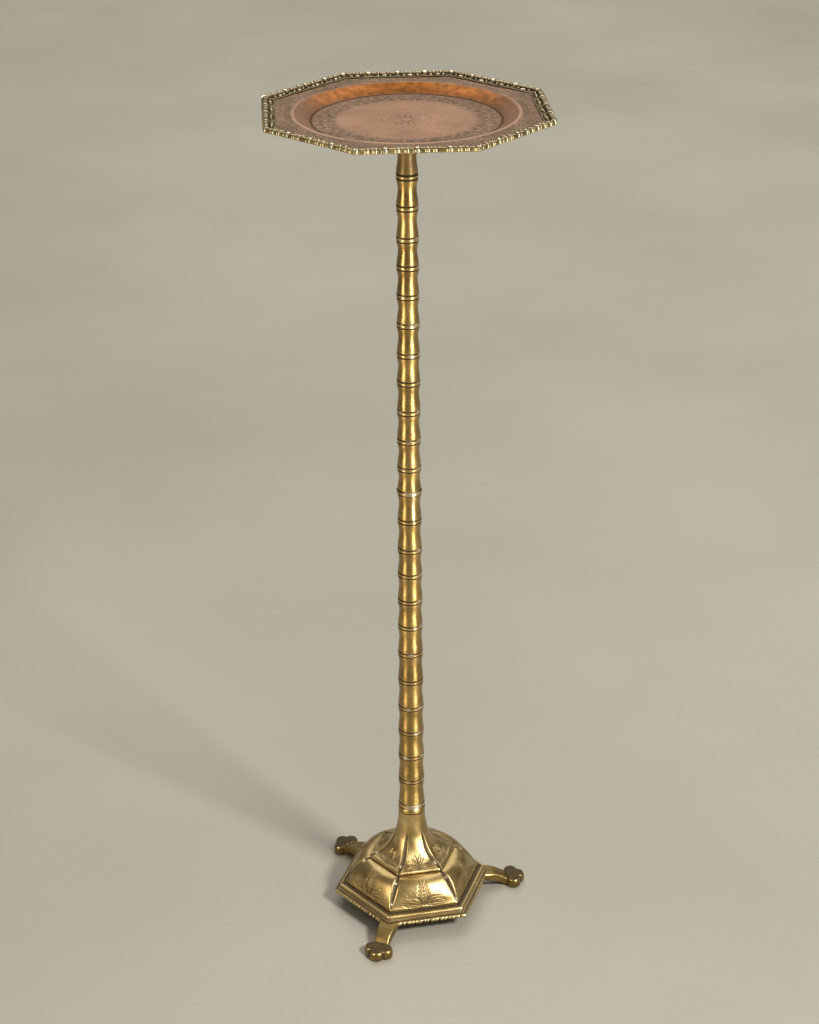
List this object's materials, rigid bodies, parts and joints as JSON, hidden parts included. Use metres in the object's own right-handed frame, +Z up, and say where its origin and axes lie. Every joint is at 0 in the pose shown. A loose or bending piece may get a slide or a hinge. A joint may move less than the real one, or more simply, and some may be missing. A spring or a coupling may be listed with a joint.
{
  "type": "pedestal tray table",
  "caption": "Free-standing brass pedestal with a bamboo-like spooled stem, a lobed bell base on short legs, and an octagonal copper tray with a cast border.",
  "frame": {"origin": "on the floor, at the centre of the object's box, on the axis of the stem", "axes": "+Z up along the stem; one of the three legs points to -Y"},
  "size_m": [0.298, 0.298, 0.914],
  "materials": {
    "aged_brass": "aged, satin polished",
    "border_brass": "cast, polished on its crests and dark in its hollows",
    "leg_brass": "aged, polished on its rounded sides",
    "screw_brass": "dull",
    "copper_tray": null,
    "rod_steel": "plain mild steel"
  },
  "bodies": {
    "root": {"bell": "aged_brass", "border_strip_01": "border_brass", "border_strip_02": "border_brass", "border_strip_03": "border_brass", "border_strip_04": "border_brass", "border_strip_05": "border_brass", "border_strip_06": "border_brass", "border_strip_07": "border_brass", "border_strip_08": "border_brass", "leg_1": "leg_brass", "leg_2": "leg_brass", "leg_3": "leg_brass", "leg_screw_1a": "screw_brass", "leg_screw_1b": "screw_brass", "leg_screw_2a": "screw_brass", "leg_screw_2b": "screw_brass", "leg_screw_3a": "screw_brass", "leg_screw_3b": "screw_brass", "neck_collar": "aged_brass", "plinth": "aged_brass", "rod_nut": "rod_steel", "rod_washer": "rod_steel", "spool_01": "aged_brass", "spool_02": "aged_brass", "spool_03": "aged_brass", "spool_04": "aged_brass", "spool_05": "aged_brass", "spool_06": "aged_brass", "spool_07": "aged_brass", "spool_08": "aged_brass", "spool_09": "aged_brass", "spool_10": "aged_brass", "spool_11": "aged_brass", "spool_12": "aged_brass", "spool_13": "aged_brass", "spool_14": "aged_brass", "spool_15": "aged_brass", "spool_16": "aged_brass", "spool_17": "aged_brass", "spool_18": "aged_brass", "spool_19": "aged_brass", "spool_20": "aged_brass", "spool_21": "aged_brass", "spool_22": "aged_brass", "spool_23": "aged_brass", "spool_24": "aged_brass", "tie_rod": "rod_steel", "tray_boss": "aged_brass", "tray_pan": "copper_tray"}
  },
  "joints": []
}
